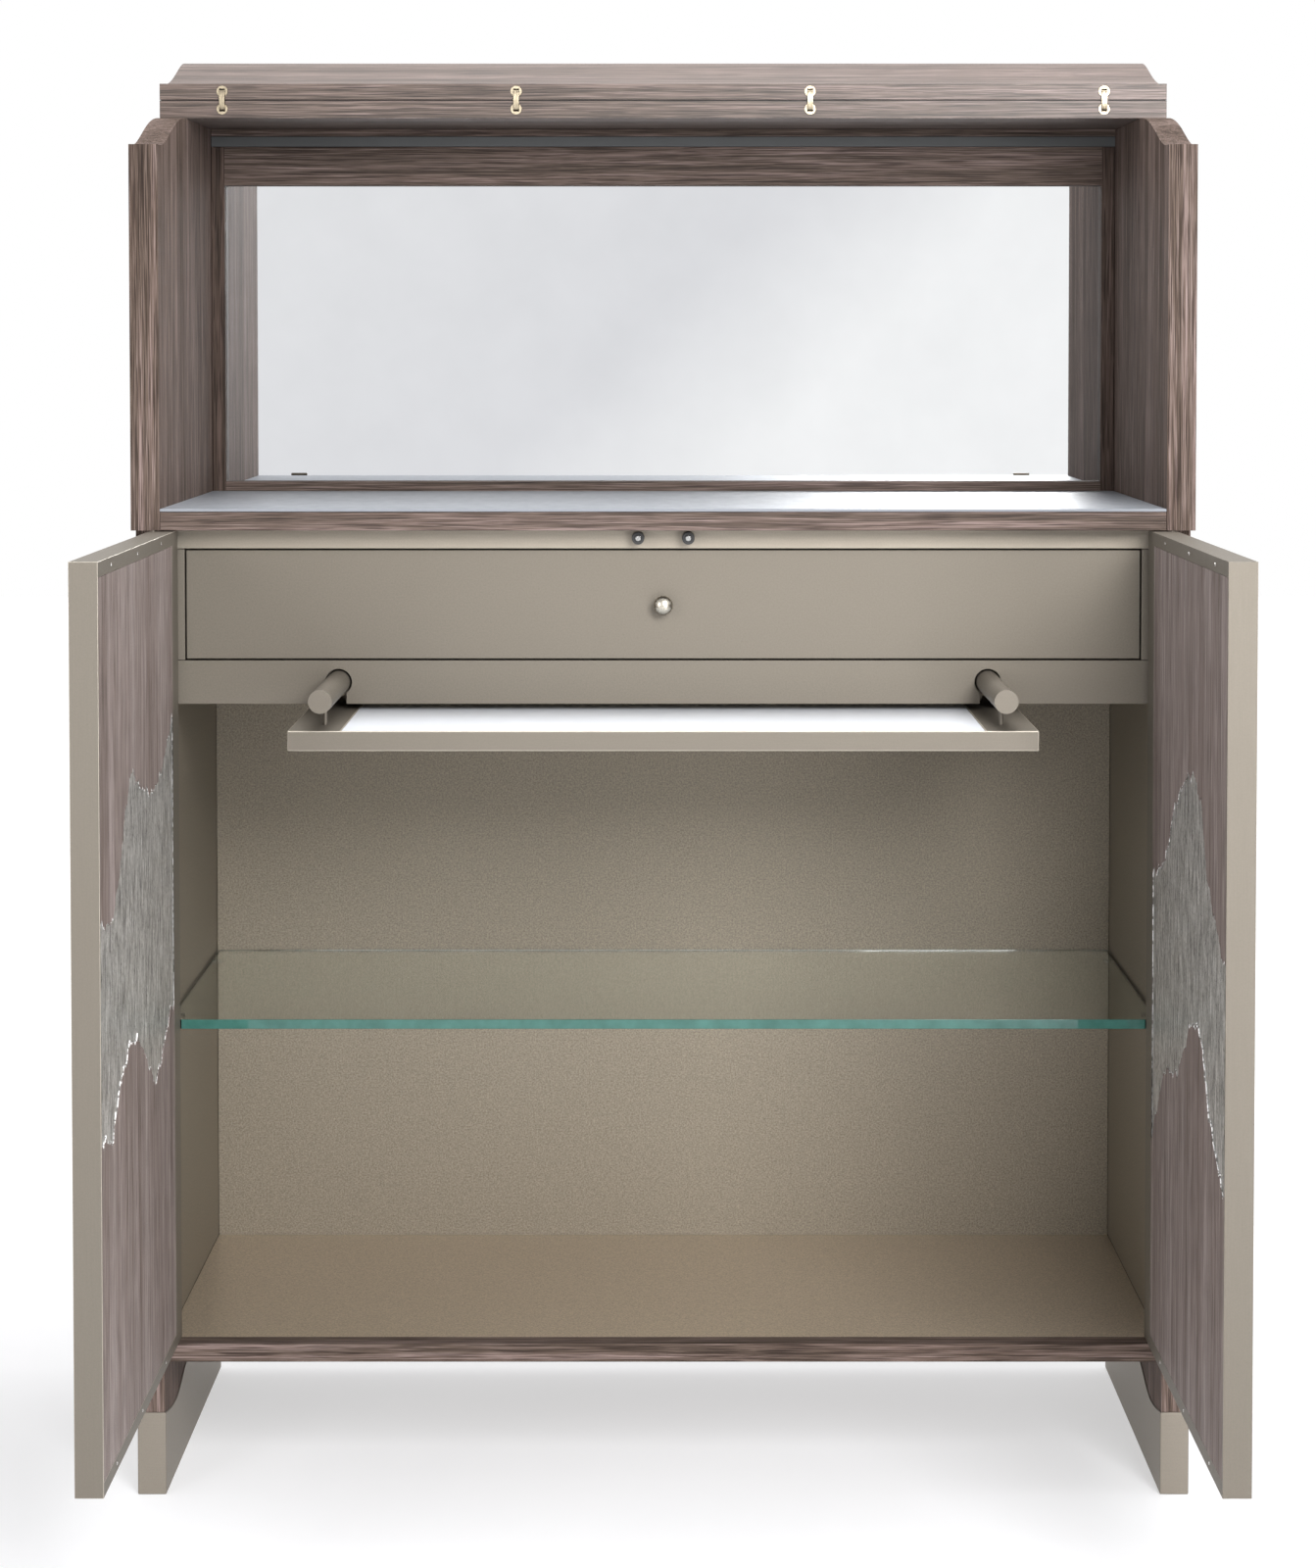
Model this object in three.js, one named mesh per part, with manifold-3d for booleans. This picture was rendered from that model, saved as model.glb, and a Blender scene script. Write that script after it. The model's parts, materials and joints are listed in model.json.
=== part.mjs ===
import * as THREE from "three";
import { mergeVertices } from "three/addons/utils/BufferGeometryUtils.js";
import Module from "manifold-3d";

const wasm = await Module();
wasm.setup();

// All sizes are in millimetres. X runs left to right, Y from the front plane to the back, Z up from the floor.
const WIDTH = 1143;
const DEPTH = 500;
const CLOSED_HEIGHT = 1523.7; // top of the fixed half of the top, and of the leaf when it is down
const COUNTER_HEIGHT = 1071; // top of the counter glass
const FLOOR_HEIGHT = 165.3; // top of the bottom board
const GAP = 0.3; // between pieces that rest on each other
const OVERCUT = 1; // how far a cutting body reaches past the face that it cuts

// Carcass
const SIDE = 31;
const LEG_INSET = 1.3; // leg slab behind the outer face of the side panel
const BOTTOM_THICK = 19.8;
const COUNTER_THICK = 20;
const COUNTER_GLASS = 3;
const BACK_THICK = 7.7;
const TOP_THICK = 20.2;
const NOTCH_DEPTH = 38; // cut in the front edge of a side panel for the open door's end
const HIGH_LINE = 100.4; // top of the leg slab at mid depth
const LEG_WAVE = [
  [0, 90.2],
  [0.098, 82],
  [0.182, 79.7],
  [0.252, 85.1],
  [0.314, 93.4],
  [0.37, 97.5],
  [0.5, HIGH_LINE],
]; // share of the depth from either end, height

// Ogee of the side panels and of the leaf
const SIDE_FRONT_DROP = 62.4; // top of the side panel's front end below the closed height
const SIDE_FLAT = 18;
const OGEE_START = 85;
const OGEE_END = 134;
const OGEE_BACK = 259;
const NOSE_THICK = 57.4;
const LEAF_THICK = 18.2;
const NOSE_FLAT = 20;
const LEAF_START = 82;
const LEAF_END = 130;
const TOP_HALF = DEPTH / 2; // depth of the fixed half, and of the leaf

// Barrel hinges between the halves of the top
const FOLD_Z = CLOSED_HEIGHT + GAP;
const HINGE_OFFSETS = [0.438, 0.146]; // share of the width from the middle
const BARREL_R = 6.3;
const BARREL_LENGTH = 22;
const BARREL_DROP = 10; // barrel axis above or below the fold axis
const LINK_WIDTH = 6.2;
const LINK_REACH = 11; // link's end from the fold axis
const LINK_THICK = 3.4;
const LINK_TIP = 0.8; // thickness of the link at its ends
const LINK_BOW = 0.8; // share of its reach at which a link is bowed
const LINK_STAND = 0.5; // link in front of the fold axis
const LINK_GROOVE = 1.2;
const MORTISE_R = 13;
const MORTISE_WIDTH = 6.8;

// Doors
const DOOR_THICK = 27.5;
const DOOR_SIDE_INSET = 1; // closed door's hinge end inside the outer face of the side panel
const DOOR_MEET = 1.5; // closed door's free end from the middle
const DOOR_CLEAR = 1; // door to the bottom board and to the counter
const PIVOT_FROM_FACE = 4.4;
const PIVOT_FROM_END = 22.6;
const PIVOT_R = 3;
const PIVOT_BORE_R = 3.05;
const PIVOT_LENGTH = 14;
const FRAME_STRIP = 14.6;
const FRAME_STILE = 47;
const FRAME_EDGE = 3;
const INLAY_POCKET = 2.2;
const INLAY_SUNK = 0.6;

// Face frame behind the closed doors
const FRAME_SET_BACK = 52;
const FRAME_THICK = 18;
const TOP_RAIL = 22;
const DRAWER_ZONE = 121.6; // between the top rail and the tray rail
const TRAY_RAIL = 47.5;
const STILE = 20;
const DRAWER_REVEAL = 1.6;
const CATCH_X = 27.2;
const CATCH_DROP = 10;
const CATCH_R = 6.75;
const CATCH_LENGTH = 22;
const PLUNGER_R = 3;
const PLUNGER_LENGTH = 14;
const PLUNGER_STROKE = 3;
const PLUNGER_PROUD = 1.2;

// Drawer
const DRAWER_WALL = 12;
const DRAWER_FLOOR = 8;
const DRAWER_BOX_DROP = 16; // the box's rim under the front's top
const DRAWER_INSET = 5; // drawer box inside the ends of its front
const DRAWER_BOX_DEPTH = 380;
const RUNNER_Z = 0.42; // share of the drawer zone
const RUNNER_HEIGHT = 14;
const RUNNER_TONGUE = 7;
const RUNNER_CLEAR = 0.6;
const KNOB_R = 10.5;
const KNOB_OUT = 23.2;
const KNOB_FOOT_R = 5.2;
const KNOB_POST_R = 4.0;
const KNOB_FOOT_OUT = 4.6;
const KNOB_POST_OUT = 11.6;
const KNOB_BRIM_OUT = 16.7; // where the dome is widest
const KNOB_UNDERCUT = -Math.PI / 3; // angle at which the dome leaves the post
const KNOB_STEPS = 14;

// Pull-out tray
const TRAY_OUT = 221; // tray front in front of the tray rail
const TRAY_HALF = 387.5;
const TRAY_DEPTH = 380;
const TRAY_THICK = 20.9;
const TRAY_DROP = 6.3; // tray top below the tray rail
const TRAY_BAR = 55;
const TRAY_BACK_BAR = 30;
const TRAY_LIP = 2;
const TRAY_GLASS = 5;
const ROD_R = 12.4;
const ROD_SPACING = 353.6; // rod axis from the middle
const ROD_LENGTH = 420;
const HANGER_R = 2.2;
const HANGER_FRONT = 61;
const HANGER_BACK = 320;
const KEYHOLE_R = 14.4;
const KEYHOLE_SLOT = 17;
const GUIDE_DEPTH = 140;
const GUIDE_HALF = 20;
const GUIDE_BORE_R = 12.48;
const GUIDE_SLOT = 9;
const DUST_PANEL = 6.8;

// Shelf
const SHELF_TOP = 348.5; // above the bottom board
const SHELF_GLASS = 10.3;
const SHELF_FRONT = 29.5;
const SHELF_SIDE_CLEAR = 2.5;
const SHELF_CHAMFER = 15;
const SHELF_CHAMFER_DEPTH = 10.5;
const SHELF_PIN_SHARES = [0.12, 0.88]; // of the depth behind the shelf's front
const SHELF_PIN_R = 3;
const SHELF_PIN_LENGTH = 24;
const SHELF_PIN_BORE = 10;

// Mirror niche above the counter
const MIRROR_FRAME_DEPTH = 19.4;
const MIRROR_POST = 15.7;
const MIRROR_SILL = 11.3; // above the counter glass
const MIRROR_HEAD = 46;
const MIRROR_TOP = 1482.4;
const MIRROR_GLASS = 3;
const MIRROR_LAP = 4;
const LAMP_BAND = 12;
const LAMP_THICK = 14;

// Sizes that follow from the ones above
const INNER = WIDTH / 2 - SIDE;
const BOARD = INNER - GAP;
const BACK_Y = DEPTH - BACK_THICK;
const WOOD_TOP = COUNTER_HEIGHT - GAP - COUNTER_GLASS;
const WOOD_BOTTOM = WOOD_TOP - COUNTER_THICK;
const TOP_BOTTOM = CLOSED_HEIGHT - TOP_THICK;
const SIDE_TOP = TOP_BOTTOM - GAP;
const PIVOT_X = WIDTH / 2 - DOOR_SIDE_INSET - PIVOT_FROM_END;
const DOOR_OUTER_X = PIVOT_X + PIVOT_FROM_FACE;
const DOOR_WIDTH = WIDTH / 2 - DOOR_SIDE_INSET - DOOR_MEET;
const DOOR_BACK_Y = PIVOT_FROM_FACE + PIVOT_FROM_END;
const DOOR_FRONT_Y = DOOR_BACK_Y - DOOR_WIDTH;
const DOOR_BOTTOM = FLOOR_HEIGHT + DOOR_CLEAR;
const DOOR_TOP = WOOD_BOTTOM - DOOR_CLEAR;
const RAIL_BACK = FRAME_SET_BACK + FRAME_THICK;
const DRAWER_TOP = WOOD_BOTTOM - GAP - TOP_RAIL;
const DRAWER_BOTTOM = DRAWER_TOP - DRAWER_ZONE;
const TRAY_RAIL_TOP = DRAWER_BOTTOM - GAP;
const TRAY_RAIL_BOTTOM = TRAY_RAIL_TOP - TRAY_RAIL;
const ROD_Z = TRAY_RAIL_TOP - TRAY_RAIL / 2;
const TRAY_FRONT = FRAME_SET_BACK - TRAY_OUT;
const TRAY_TOP = TRAY_RAIL_BOTTOM - TRAY_DROP;
const DUST_BOTTOM = TRAY_RAIL_TOP - DUST_PANEL;
const SHELF_BOTTOM = FLOOR_HEIGHT + SHELF_TOP - SHELF_GLASS;
const MIRROR_FRONT = BACK_Y - GAP - MIRROR_FRAME_DEPTH;

// Materials
const wood = { color: 0x7d6e64, roughness: 0.55 };
const darkWood = { color: 0x2d2622, roughness: 0.6 };
const champagne = { color: 0xa0957f, metalness: 0.7, roughness: 0.4 };
const silver = { color: 0xb8b6b0, metalness: 0.9, roughness: 0.35 };
const brass = { color: 0xb89a5a, metalness: 0.9, roughness: 0.3 };
const blackMetal = { color: 0x1c1c1c, metalness: 0.5, roughness: 0.5 };
const whiteGlass = { color: 0xe8ecf0, roughness: 0.1 };
const clearGlass = { color: 0x507d6e, roughness: 0.05 };
const mirrorGlass = { color: 0xd0d4d8, metalness: 1, roughness: 0.02 };
const lampGlass = { color: 0x4a4a4c, roughness: 0.3 };

const cabinet = new THREE.Group();
cabinet.name = "bar_cabinet";

// Geometry to a solid that can be joined and cut.
function solid(geometry) {
  geometry.deleteAttribute("normal");
  geometry.deleteAttribute("uv");
  const merged = mergeVertices(geometry, 1e-4);
  const made = new wasm.Mesh({
    numProp: 3,
    vertProperties: merged.attributes.position.array,
    triVerts: new Uint32Array(merged.index.array),
  });
  return new wasm.Manifold(made);
}

function box(x, y, z) {
  const size = [x, y, z].map(([low, high]) => Math.abs(high - low));
  const middle = [x, y, z].map(([low, high]) => (low + high) / 2);
  return solid(new THREE.BoxGeometry(...size).translate(...middle));
}

// A closed outline of [y, z] points, given thickness between two values of X.
function slabX(outline, x0, x1) {
  return extrude(outline, x0, x1, new THREE.Matrix4().set(0, 0, 1, 0, 1, 0, 0, 0, 0, 1, 0, 0, 0, 0, 0, 1));
}

// A closed outline of [x, z] points, given thickness between two values of Y.
function slabY(outline, y0, y1) {
  return extrude(outline, -y1, -y0, new THREE.Matrix4().set(1, 0, 0, 0, 0, 0, -1, 0, 0, 1, 0, 0, 0, 0, 0, 1));
}

// A closed outline of [x, y] points, given thickness between two values of Z.
function slabZ(outline, z0, z1) {
  return extrude(outline, z0, z1, new THREE.Matrix4());
}

function extrude(outline, low, high, turn) {
  const shape = new THREE.Shape(outline.map(([a, b]) => new THREE.Vector2(a, b)));
  const depth = Math.abs(high - low);
  const geometry = new THREE.ExtrudeGeometry(shape, { depth, bevelEnabled: false });
  return solid(geometry.translate(0, 0, Math.min(low, high)).applyMatrix4(turn));
}

function disc(radius, count, centre = [0, 0], from = 0, sweep = 2 * Math.PI) {
  const steps = [...Array(count).keys()];
  return steps.map((i) => {
    const angle = from + (sweep * i) / (sweep < 2 * Math.PI ? count - 1 : count);
    return [centre[0] + radius * Math.cos(angle), centre[1] + radius * Math.sin(angle)];
  });
}

function join(first, ...others) {
  return others.reduce((whole, piece) => whole.add(piece), first);
}

function cut(first, ...others) {
  return others.reduce((whole, piece) => whole.subtract(piece), first);
}

function add(name, made, look) {
  const { vertProperties, triVerts } = made.getMesh();
  const geometry = new THREE.BufferGeometry();
  geometry.setAttribute("position", new THREE.BufferAttribute(vertProperties, 3));
  geometry.setIndex(new THREE.BufferAttribute(triVerts, 1));
  geometry.computeVertexNormals();
  const mesh = new THREE.Mesh(geometry, new THREE.MeshStandardMaterial(look));
  mesh.name = name;
  cabinet.add(mesh);
}

// Runs once for the left side (-1) and once for the right side (+1).
function bothSides(make) {
  make("left", -1);
  make("right", 1);
}

function spanX(side, near, far) {
  return [side * near, side * far];
}

function bezier(points, count) {
  const [a, b, c, d] = points.map(([y, z]) => new THREE.Vector2(y, z));
  return new THREE.CubicBezierCurve(a, b, c, d).getPoints(count).map((p) => [p.x, p.y]);
}

// Line between a metal leg slab and the wooden panel above it, from the front to the back.
function waveLine(lift) {
  const front = LEG_WAVE.map(([share, z]) => new THREE.Vector2(share * DEPTH, z + lift));
  const back = front.slice(0, -1).reverse();
  const whole = [...front, ...back.map((p) => new THREE.Vector2(DEPTH - p.x, p.y))];
  return new THREE.SplineCurve(whole).getPoints(48).map((p) => [p.x, p.y]);
}

function sideTopLine() {
  const low = CLOSED_HEIGHT - SIDE_FRONT_DROP;
  const curve = [
    [SIDE_FLAT, low],
    [OGEE_START, low],
    [OGEE_END, SIDE_TOP],
    [OGEE_BACK, SIDE_TOP],
  ];
  return [[0, low], ...bezier(curve, 24)];
}

function makeSides() {
  const pin = disc(PIVOT_BORE_R, 32, [PIVOT_X, PIVOT_FROM_FACE]);
  bothSides((word, side) => {
    const outline = [...waveLine(GAP), [DEPTH, SIDE_TOP], ...sideTopLine().reverse()];
    const bore = slabZ(
      pin.map(([x, y]) => [side * x, y]),
      FLOOR_HEIGHT - PIVOT_LENGTH - DOOR_CLEAR,
      WOOD_BOTTOM + PIVOT_LENGTH + DOOR_CLEAR,
    );
    const notch = box(
      spanX(side, INNER - OVERCUT, WIDTH / 2 + OVERCUT),
      [-OVERCUT, NOTCH_DEPTH],
      [FLOOR_HEIGHT, WOOD_BOTTOM],
    );
    const panel = slabX(outline, side * INNER, (side * WIDTH) / 2);
    add(`side_panel_${word}`, cut(panel, notch, bore, ...shelfPinBores(side)), wood);
    const legX = spanX(side, INNER - LEG_INSET, WIDTH / 2 - LEG_INSET);
    const leg = slabX([...waveLine(0), [DEPTH, 0], [0, 0]], ...legX);
    add(`leg_${word}`, leg, champagne);
  });
}

function makeBoards() {
  const inside = [-BOARD, BOARD];
  const bottom = box(inside, [0, BACK_Y - GAP], [FLOOR_HEIGHT - BOTTOM_THICK, FLOOR_HEIGHT]);
  add("bottom_board", bottom, wood);
  add("back_panel", box(inside, [BACK_Y, DEPTH], [FLOOR_HEIGHT - BOTTOM_THICK, SIDE_TOP]), wood);
  add("counter_board", box(inside, [0, BACK_Y - GAP], [WOOD_BOTTOM, WOOD_TOP]), wood);
  add("counter_glass", box(inside, [0, MIRROR_FRONT - GAP], [WOOD_TOP + GAP, COUNTER_HEIGHT]), whiteGlass);
}

function makeNiche() {
  const sill = WOOD_TOP + GAP;
  const frame = box([-BOARD, BOARD], [MIRROR_FRONT, BACK_Y - GAP], [sill, MIRROR_TOP]);
  const opening = [
    [-BOARD + MIRROR_POST, BOARD - MIRROR_POST],
    [COUNTER_HEIGHT + MIRROR_SILL, MIRROR_TOP - MIRROR_HEAD],
  ];
  const window_ = box(opening[0], [MIRROR_FRONT - OVERCUT, BACK_Y], opening[1]);
  const lap = ([low, high], by) => [low - by, high + by];
  const glassY = [BACK_Y - 2 * GAP - MIRROR_GLASS, BACK_Y - 2 * GAP];
  const rabbet = box(lap(opening[0], MIRROR_LAP), [glassY[0] - GAP, BACK_Y], lap(opening[1], MIRROR_LAP));
  add("mirror_frame", cut(frame, window_, rabbet), wood);
  const pane = opening.map((range) => lap(range, MIRROR_LAP - GAP));
  add("mirror", box(pane[0], glassY, pane[1]), mirrorGlass);
  const lamp = [MIRROR_TOP + GAP, MIRROR_TOP + GAP + LAMP_BAND];
  const lampY = [MIRROR_FRONT, MIRROR_FRONT + LAMP_THICK];
  add("lamp_strip", box([-BOARD, BOARD], lampY, lamp), lampGlass);
  const fillet = box([-BOARD, BOARD], [MIRROR_FRONT, BACK_Y - GAP], [lamp[1] + GAP, TOP_BOTTOM - GAP]);
  add("niche_fillet", fillet, darkWood);
}

// Half barrel of a top hinge: its cavity in a top, its solid, and the quarter disc the link swings through.
function hingeCut(x, sign) {
  const barrel = disc(BARREL_R + GAP, 32, [x, FOLD_Z + sign * BARREL_DROP]);
  const cavity = slabY(barrel, TOP_HALF - OVERCUT, TOP_HALF + GAP + BARREL_LENGTH + GAP);
  return join(cavity, mortise(x, sign));
}

function mortise(x, sign) {
  const arc = disc(MORTISE_R, 12, [TOP_HALF, FOLD_Z], 0, (sign * Math.PI) / 2);
  const quarter = [[TOP_HALF - OVERCUT, FOLD_Z - sign], [TOP_HALF + MORTISE_R, FOLD_Z - sign], ...arc];
  const closed = [...quarter, [TOP_HALF - OVERCUT, FOLD_Z + sign * MORTISE_R]];
  return slabX(closed, x - MORTISE_WIDTH / 2, x + MORTISE_WIDTH / 2);
}

function hingePositions() {
  const [outer, inner] = HINGE_OFFSETS.map((share) => share * WIDTH);
  return [-outer, -inner, inner, outer];
}

function leafOutline() {
  const folded = (y) => DEPTH - y;
  const thin = FOLD_Z + GAP + LEAF_THICK;
  const nose = FOLD_Z + GAP + NOSE_THICK;
  const curve = [
    [folded(NOSE_FLAT), nose],
    [folded(LEAF_START), nose],
    [folded(LEAF_END), thin],
    [TOP_HALF + GAP, thin],
  ];
  return [[TOP_HALF + GAP, FOLD_Z + GAP], [DEPTH, FOLD_Z + GAP], [DEPTH, nose], ...bezier(curve, 24)];
}

function makeTops() {
  const positions = hingePositions();
  const fixed = box([-WIDTH / 2, WIDTH / 2], [TOP_HALF + GAP, DEPTH], [TOP_BOTTOM, CLOSED_HEIGHT]);
  add("fixed_top", cut(fixed, ...positions.map((x) => hingeCut(x, -1))), wood);
  const leaf = slabX(leafOutline(), -WIDTH / 2, WIDTH / 2);
  add("folding_leaf", cut(leaf, ...positions.map((x) => hingeCut(x, 1))), wood);
  positions.forEach((x, i) => {
    add(`barrel_fixed_${i + 1}`, makeBarrel(x, -1), brass);
    add(`barrel_leaf_${i + 1}`, makeBarrel(x, 1), brass);
    add(`hinge_link_${i + 1}`, makeLink(x), brass);
  });
}

function makeBarrel(x, sign) {
  const round = disc(BARREL_R, 32, [x, FOLD_Z + sign * BARREL_DROP]);
  const barrel = slabY(round, TOP_HALF + GAP, TOP_HALF + GAP + BARREL_LENGTH);
  return cut(barrel, mortise(x, sign));
}

// A link is two rounded bars side by side, bowed towards the front.
function makeLink(x) {
  const back = TOP_HALF - LINK_STAND;
  const bow = (sunk) =>
    bezier(
      [
        [back - LINK_TIP, FOLD_Z + LINK_REACH],
        [back - LINK_THICK + sunk, FOLD_Z + LINK_REACH * LINK_BOW],
        [back - LINK_THICK + sunk, FOLD_Z - LINK_REACH * LINK_BOW],
        [back - LINK_TIP, FOLD_Z - LINK_REACH],
      ],
      12,
    );
  const outline = (sunk) => [[back, FOLD_Z + LINK_REACH], ...bow(sunk), [back, FOLD_Z - LINK_REACH]];
  const half = LINK_WIDTH / 2;
  const bars = [-1, 1].map((side) => slabX(outline(0), x + (side * LINK_GROOVE) / 2, x + side * half));
  return join(slabX(outline(LINK_GROOVE), x - half, x + half), ...bars);
}

// Edges of the silver band across a door: distance from the hinge end, height above the floor.
const BAND = {
  left: {
    upper: [
      [59, 850],
      [99, 822],
      [146, 800],
      [207, 787],
      [309, 807],
      [344, 828],
      [372, 818],
      [406, 785],
      [453, 724],
      [498, 696],
      [562, 706],
    ],
    lower: [
      [75, 539],
      [146, 501],
      [196, 482],
      [309, 550],
      [372, 560],
      [453, 527],
      [492, 486],
      [555, 500],
    ],
  },
  right: {
    upper: [
      [48, 683],
      [112, 697],
      [158, 720],
      [204, 770],
      [285, 810],
      [345, 824],
      [404, 799],
      [444, 731],
      [553, 666],
    ],
    lower: [
      [48, 395],
      [112, 456],
      [147, 488],
      [241, 501],
      [342, 574],
      [404, 575],
      [463, 505],
      [547, 453],
    ],
  },
};
const BAND_FIT_BOTTOM = 166.3; // bottom of a door that these heights suit
const BAND_FIT_HEIGHT = 880.4; // height of a door that these heights suit
const RAGGED = 5; // height of the bark's teeth
const TOOTH_RATE = 0.71; // radians per millimetre along the band
const TOOTH_DRIFT = 0.233;
const TOOTH_FINE = 1.93;
const BAND_STEPS = 88;

function heightAt(edge, u) {
  const next = Math.max(1, Math.min(edge.length - 1, edge.findIndex(([at]) => at > u)));
  const at = edge[edge.length - 1][0] < u ? edge.length - 1 : next;
  const [[u0, z0], [u1, z1]] = [edge[at - 1], edge[at]];
  return z0 + ((z1 - z0) * (Math.min(Math.max(u, edge[0][0]), edge[edge.length - 1][0]) - u0)) / (u1 - u0);
}

function tooth(u, seed) {
  const coarse = Math.sin(u * TOOTH_RATE + seed) * Math.sin(u * TOOTH_DRIFT + 2 * seed);
  return RAGGED * (coarse + Math.sin(u * TOOTH_FINE + seed) / 2);
}

// Outline of the band in the door's plane, shrunk by a margin on every side.
function bandOutline(word, margin) {
  const from = FRAME_STILE + GAP;
  const to = DOOR_WIDTH - FRAME_EDGE - GAP;
  const steps = [...Array(BAND_STEPS + 1).keys()].map((i) => from + ((to - from) * i) / BAND_STEPS);
  const place = (u) => DOOR_BACK_Y - Math.min(Math.max(u, from + margin), to - margin);
  const scale = (DOOR_TOP - DOOR_BOTTOM) / BAND_FIT_HEIGHT;
  const fit = (z) => DOOR_BOTTOM + (z - BAND_FIT_BOTTOM) * scale;
  const upper = steps.map((u) => [place(u), fit(heightAt(BAND[word].upper, u)) + tooth(u, 1) - margin]);
  const lower = steps.map((u) => [place(u), fit(heightAt(BAND[word].lower, u)) + tooth(u, 4) + margin]);
  return [...upper, ...lower.reverse()];
}

function makeDoors() {
  bothSides((word, side) => {
    const outer = DOOR_OUTER_X;
    const inner = DOOR_OUTER_X - DOOR_THICK;
    const faces = spanX(side, inner, outer);
    const slab = box(faces, [DOOR_FRONT_Y, DOOR_BACK_Y], [DOOR_BOTTOM, DOOR_TOP]);
    const panelY = [DOOR_FRONT_Y + FRAME_EDGE, DOOR_BACK_Y - FRAME_STILE];
    const panelZ = [DOOR_BOTTOM + FRAME_STRIP, DOOR_TOP - FRAME_STRIP];
    const window_ = box(spanX(side, inner - OVERCUT, outer + OVERCUT), panelY, panelZ);
    const pin = disc(PIVOT_R, 32, [side * PIVOT_X, PIVOT_FROM_FACE]);
    const pins = [
      slabZ(pin, DOOR_BOTTOM - PIVOT_LENGTH, DOOR_BOTTOM + FRAME_STRIP / 2),
      slabZ(pin, DOOR_TOP - FRAME_STRIP / 2, DOOR_TOP + PIVOT_LENGTH),
    ];
    add(`door_frame_${word}`, join(cut(slab, window_), ...pins), champagne);
    const panel = box(
      faces,
      [panelY[0] + GAP, panelY[1] - GAP],
      [panelZ[0] + GAP, panelZ[1] - GAP],
    );
    const pocket = bandOutline(word, -1);
    const inside = slabX(pocket, ...spanX(side, inner - OVERCUT, inner + INLAY_POCKET));
    const outside = slabX(pocket, ...spanX(side, outer - INLAY_POCKET, outer + OVERCUT));
    add(`door_panel_${word}`, cut(panel, inside, outside), wood);
    const band = bandOutline(word, GAP);
    const innerBand = slabX(band, ...spanX(side, inner + INLAY_SUNK, inner + INLAY_POCKET - GAP));
    const outerBand = slabX(band, ...spanX(side, outer - INLAY_POCKET + GAP, outer - INLAY_SUNK));
    add(`inlay_inner_${word}`, innerBand, silver);
    add(`inlay_outer_${word}`, outerBand, silver);
  });
}

function makeFaceFrame() {
  const y = [FRAME_SET_BACK, RAIL_BACK];
  add("face_rail_top", box([-BOARD, BOARD], y, [DRAWER_TOP, WOOD_BOTTOM - GAP]), champagne);
  bothSides((word, side) => {
    const stile = box(spanX(side, INNER - STILE, BOARD), y, [DRAWER_BOTTOM, DRAWER_TOP - GAP]);
    add(`stile_${word}`, stile, champagne);
  });
  const rail = box([-BOARD, BOARD], y, [TRAY_RAIL_BOTTOM, TRAY_RAIL_TOP]);
  const keyholes = [-1, 1].map((side) => {
    const x = side * ROD_SPACING;
    const round = slabY(disc(KEYHOLE_R, 48, [x, ROD_Z]), y[0] - OVERCUT, y[1] + OVERCUT);
    const slot = box(
      [x - KEYHOLE_SLOT / 2, x + KEYHOLE_SLOT / 2],
      [y[0] - OVERCUT, y[1] + OVERCUT],
      [TRAY_RAIL_BOTTOM - OVERCUT, ROD_Z],
    );
    return join(round, slot);
  });
  add("tray_rail", cut(rail, ...keyholes), champagne);
  const dust = box([-BOARD, BOARD], [RAIL_BACK + GAP, BACK_Y - GAP], [DUST_BOTTOM, TRAY_RAIL_TOP]);
  add("dust_panel", dust, wood);
}

function makeCatches() {
  bothSides((word, side) => {
    const centre = [side * CATCH_X, WOOD_BOTTOM - CATCH_DROP];
    const end = FRAME_SET_BACK - GAP;
    const front = FRAME_SET_BACK - CATCH_LENGTH;
    const depth = PLUNGER_LENGTH - PLUNGER_PROUD + PLUNGER_STROKE + OVERCUT;
    const bore = slabY(disc(PLUNGER_R + GAP, 24, centre), front - OVERCUT, front + depth);
    const housing = slabY(disc(CATCH_R, 32, centre), front, end);
    add(`catch_housing_${word}`, cut(housing, bore), blackMetal);
    const tip = front - PLUNGER_PROUD;
    const plunger = slabY(disc(PLUNGER_R, 24, centre), tip, tip + PLUNGER_LENGTH);
    add(`catch_plunger_${word}`, plunger, silver);
  });
}

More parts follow.
